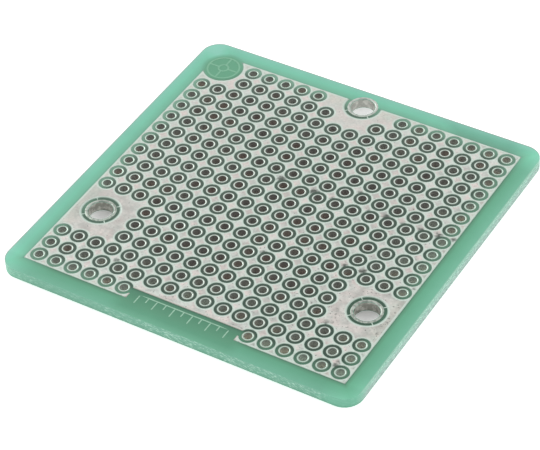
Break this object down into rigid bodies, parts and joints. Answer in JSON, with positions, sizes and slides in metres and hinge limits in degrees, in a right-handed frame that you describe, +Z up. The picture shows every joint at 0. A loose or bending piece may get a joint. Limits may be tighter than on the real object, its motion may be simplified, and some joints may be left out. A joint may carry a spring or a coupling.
{
  "type": "prototype board",
  "caption": "Square bare prototype circuit board: a grid of plated through-holes in a tinned ground plane, plated mounting holes on a circle and a green masked rim.",
  "frame": {"origin": "under the centre of the board, on the plane that the lower lands rest on", "axes": "+Z up through the board to the face with the ground plane, +Y to the edge beside the single mounting hole, +X along the rows of holes to the right"},
  "size_m": [0.0508, 0.0508, 0.0015],
  "materials": {
    "glass_epoxy": "satin",
    "tinned_plane": "satin",
    "tinned_land": "satin",
    "upper_mask": "gloss",
    "lower_mask": "gloss",
    "masked_copper": "gloss"
  },
  "bodies": {
    "root": {"substrate": "glass_epoxy", "tinned_plane": "tinned_plane", "mask_upper": "upper_mask", "mask_lower": "lower_mask", "corner_mark": "masked_copper", "mount_sleeve_left": "tinned_land", "mount_sleeve_right": "tinned_land", "mount_sleeve_rear": "tinned_land", "plated_row_1": "tinned_land", "plated_row_2": "tinned_land", "plated_row_3": "tinned_land", "plated_row_4": "tinned_land", "plated_row_5": "tinned_land", "plated_row_6": "tinned_land", "plated_row_7": "tinned_land", "plated_row_8": "tinned_land", "plated_row_9": "tinned_land", "plated_row_10": "tinned_land", "plated_row_11": "tinned_land", "plated_row_12": "tinned_land", "plated_row_13": "tinned_land", "plated_row_14": "tinned_land", "plated_row_15": "tinned_land", "plated_row_16": "tinned_land", "plated_row_17": "tinned_land", "plated_row_18": "tinned_land"}
  },
  "joints": []
}
